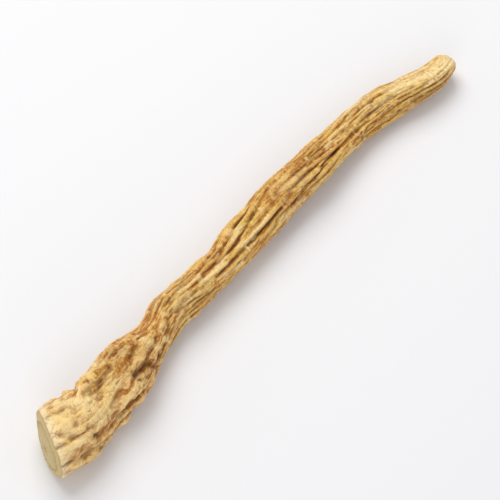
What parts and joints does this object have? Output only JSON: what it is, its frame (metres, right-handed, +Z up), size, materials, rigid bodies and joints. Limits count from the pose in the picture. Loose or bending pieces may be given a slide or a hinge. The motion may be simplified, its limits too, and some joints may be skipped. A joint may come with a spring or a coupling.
{
  "type": "ginseng root",
  "caption": "Dried ginseng root lying on its side: a thick knobbly crown ending in a slanting cut, a long furrowed tapering body and a thin blunt end.",
  "frame": {"origin": "middle of the root's box, on the surface that it lies on", "axes": "+X along the root from the cut crown to the thin end, +Z up from the surface"},
  "size_m": [0.1066, 0.0132, 0.0112],
  "materials": {
    "bark": "matte"
  },
  "bodies": {
    "root": {"ginseng_root": "bark"}
  },
  "joints": []
}
